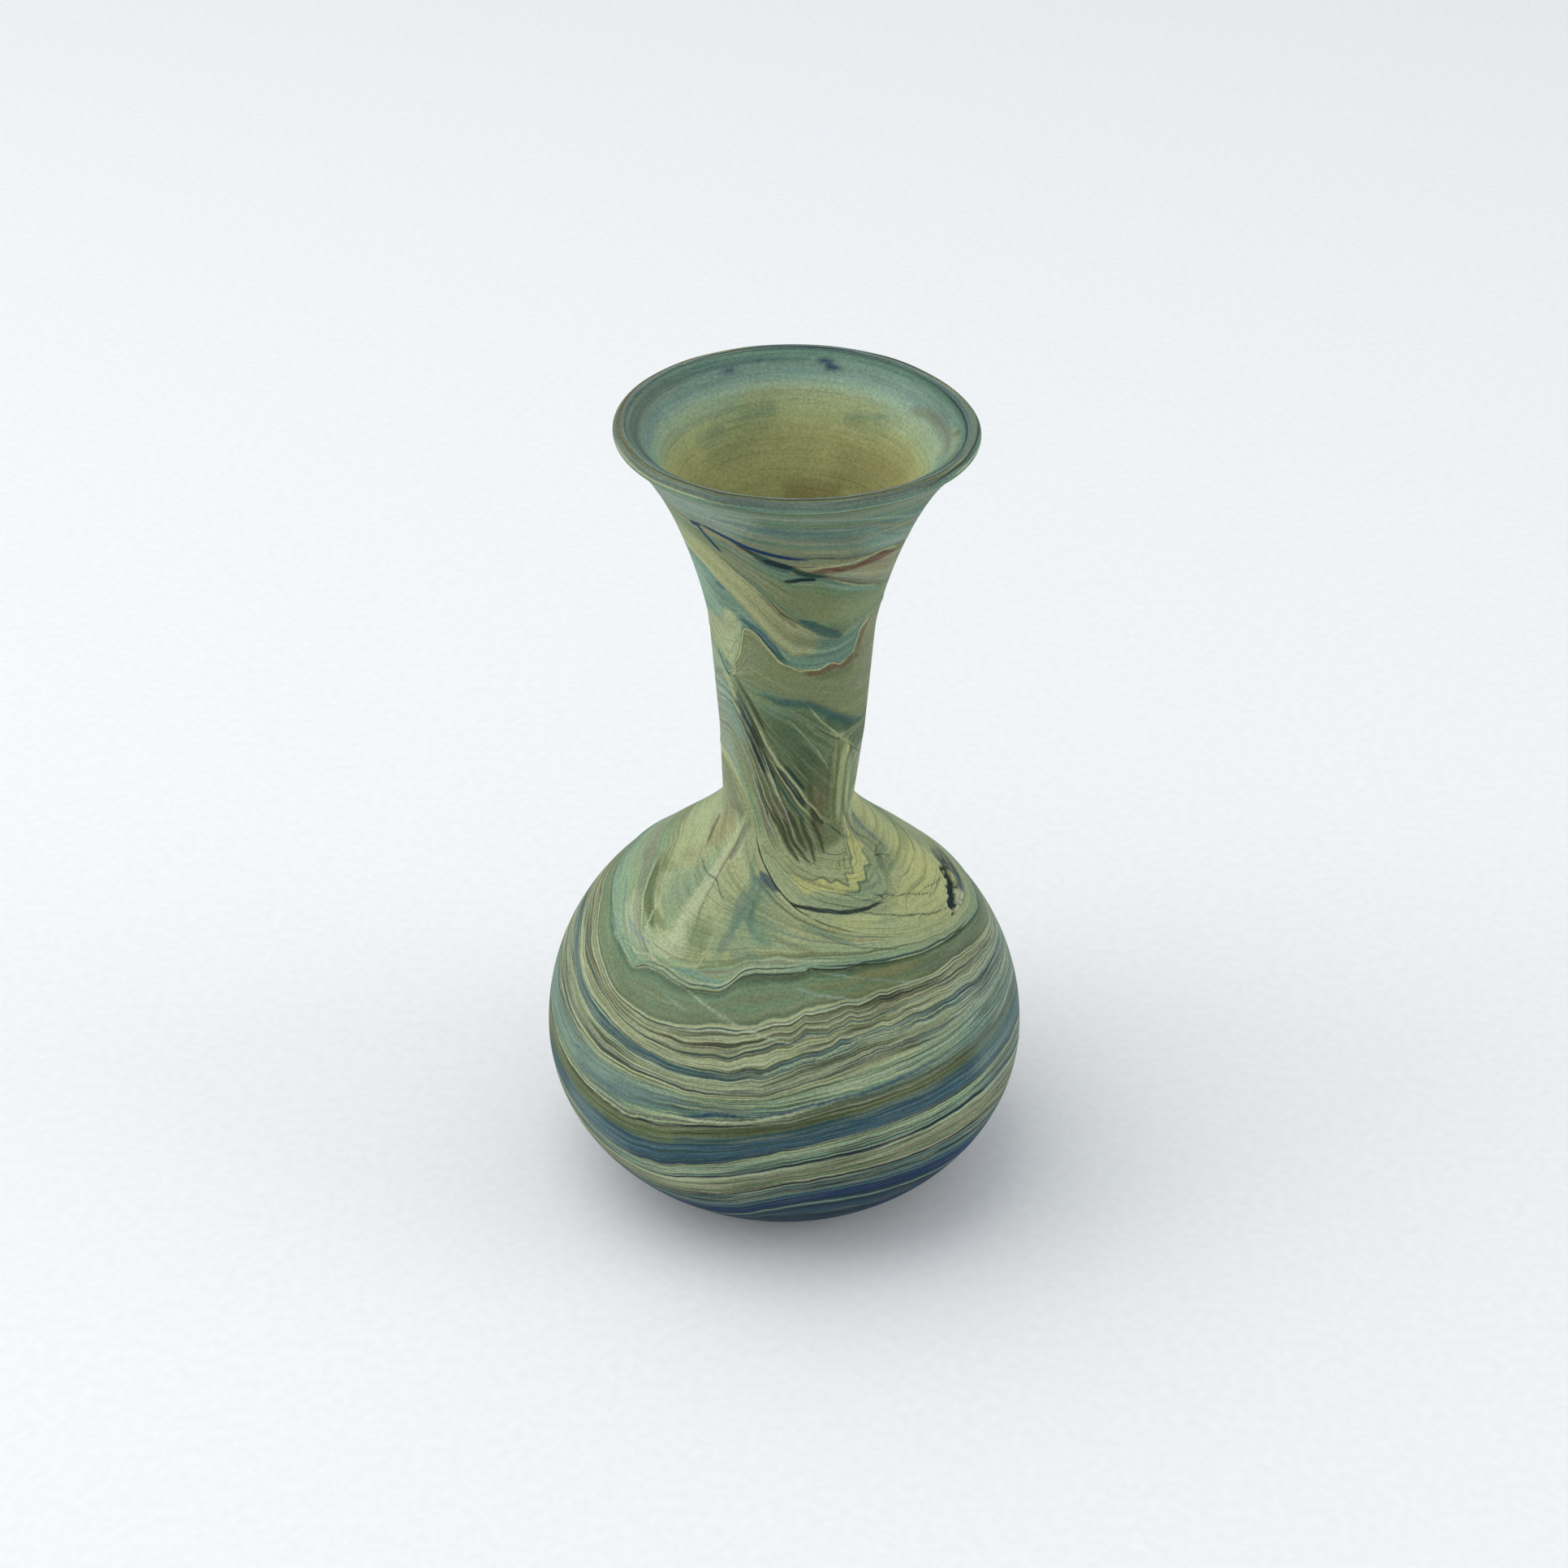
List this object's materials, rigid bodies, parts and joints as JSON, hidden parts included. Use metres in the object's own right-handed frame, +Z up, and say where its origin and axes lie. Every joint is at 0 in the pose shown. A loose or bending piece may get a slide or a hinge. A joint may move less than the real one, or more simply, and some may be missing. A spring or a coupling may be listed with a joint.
{
  "type": "blown glass vase",
  "caption": "Blown glass vase with a squat round belly, a slim neck and a wide flared mouth; stands on a flat foot ring and holds water or stems.",
  "frame": {"origin": "centre of the foot ring, on the surface that the vase stands on", "axes": "+Z up along the axis of the vessel; -Y towards the side that faces the viewer; +X to the viewer's right"},
  "size_m": [0.0866, 0.0866, 0.15],
  "materials": {
    "bubble_glass": "matt, olive to teal, seen inside the mouth",
    "belly_glass": "matt, opaque, marbled in bands of blue grey, teal, cream, olive and brown",
    "shoulder_glass": "matt, opaque, marbled cream and green",
    "neck_glass": "matt, opaque, marbled olive brown with dark threads",
    "throat_glass": "matt, opaque, marbled green, teal and ochre",
    "collar_glass": "matt, opaque, streaked teal, grey and ochre",
    "lip_glass": "matt, opaque, olive with brown and cream hairlines",
    "scar_glass": "rough broken glass, blue grey"
  },
  "bodies": {
    "root": {"inner_bubble": "bubble_glass", "belly_wrap": "belly_glass", "shoulder_wrap": "shoulder_glass", "neck_wrap": "neck_glass", "throat_wrap": "throat_glass", "collar_wrap": "collar_glass", "lip_thread": "lip_glass", "base_scar": "scar_glass"}
  },
  "joints": []
}
